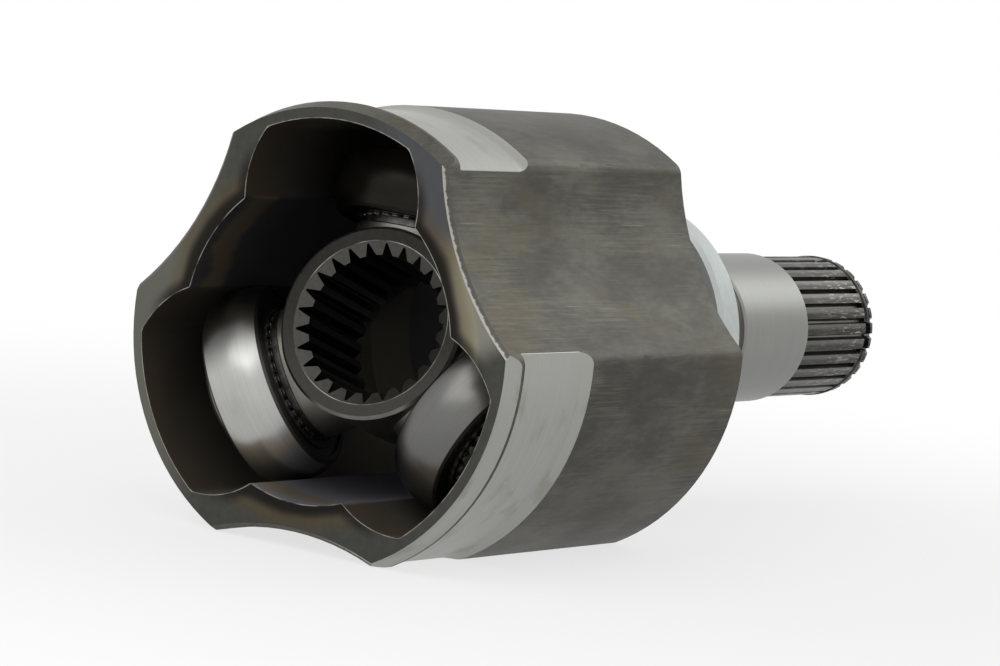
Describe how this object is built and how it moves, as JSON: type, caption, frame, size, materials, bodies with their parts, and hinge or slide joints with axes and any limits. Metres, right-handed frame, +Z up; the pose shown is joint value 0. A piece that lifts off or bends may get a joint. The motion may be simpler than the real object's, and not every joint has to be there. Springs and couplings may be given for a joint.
{
  "type": "inner tripod constant-velocity joint",
  "caption": "Inner tripod CV joint: three-lobed tulip housing with a splined stub shaft, and a spider with crowned rollers that swivels and plunges inside it.",
  "frame": {"origin": "centre of the tulip's mouth, on the joint's axis", "axes": "+X along the joint's axis, from the mouth to the end of the stub shaft; +Z up, through the upper lobe"},
  "size_m": [0.156, 0.074, 0.07],
  "materials": {
    "forged_steel": "satin",
    "hardened_steel": "satin",
    "bearing_steel": "polished",
    "washer_steel": "satin",
    "spring_steel": "satin",
    "zinc_plated_steel": "satin"
  },
  "bodies": {
    "housing": {"tulip_housing": "forged_steel", "dust_shield": "zinc_plated_steel", "stub_circlip": "spring_steel"},
    "carriage": {"needle_set_right": "bearing_steel"},
    "spider": {"tripod_spider": "hardened_steel", "inner_washer_top": "washer_steel", "outer_washer_top": "washer_steel", "snap_ring_top": "spring_steel", "inner_washer_right": "washer_steel", "outer_washer_right": "washer_steel", "snap_ring_right": "spring_steel", "inner_washer_left": "washer_steel", "outer_washer_left": "washer_steel", "snap_ring_left": "spring_steel"},
    "roller_right": {"roller_right": "bearing_steel"},
    "needles_top": {"needle_set_top": "bearing_steel"},
    "roller_top": {"roller_top": "bearing_steel"},
    "needles_left": {"needle_set_left": "bearing_steel"},
    "roller_left": {"roller_left": "bearing_steel"}
  },
  "joints": [
    {"name": "plunge", "type": "slide", "parent": "housing", "child": "carriage", "axis": [1, 0, 0], "range_m": [-0.006, 0.014]},
    {"name": "shaft_angle", "type": "hinge", "parent": "carriage", "child": "spider", "pos_m": [0.0223, -0.01905, -0.011], "axis": [0, 0.866, 0.5], "range_deg": [-38, 2]},
    {"name": "roller_right_spin", "type": "hinge", "parent": "carriage", "child": "roller_right", "pos_m": [0.0223, -0.01905, -0.011], "axis": [0, -0.866, -0.5], "continuous": true},
    {"name": "needle_orbit_top", "type": "hinge", "parent": "spider", "child": "needles_top", "pos_m": [0.02837, 0.00018, 0.02168], "axis": [0.2676, 0.0212, 0.9633], "continuous": true},
    {"name": "roller_top_spin", "type": "hinge", "parent": "spider", "child": "roller_top", "pos_m": [0.02837, 0.00018, 0.02168], "axis": [0.2676, 0.0212, 0.9633], "continuous": true},
    {"name": "needle_orbit_left", "type": "hinge", "parent": "spider", "child": "needles_left", "pos_m": [0.01623, 0.01887, -0.01068], "axis": [-0.2676, 0.8448, -0.4633], "continuous": true},
    {"name": "roller_left_spin", "type": "hinge", "parent": "spider", "child": "roller_left", "pos_m": [0.01623, 0.01887, -0.01068], "axis": [-0.2676, 0.8448, -0.4633], "continuous": true}
  ],
  "couplings": [
    {"joint": "roller_right_spin", "follows": "plunge", "rad_per_m": -61.728},
    {"joint": "needle_orbit_top", "follows": "plunge", "rad_per_m": -34.034},
    {"joint": "roller_top_spin", "follows": "plunge", "rad_per_m": -61.728},
    {"joint": "needle_orbit_left", "follows": "plunge", "rad_per_m": -34.034},
    {"joint": "roller_left_spin", "follows": "plunge", "rad_per_m": -61.728}
  ]
}
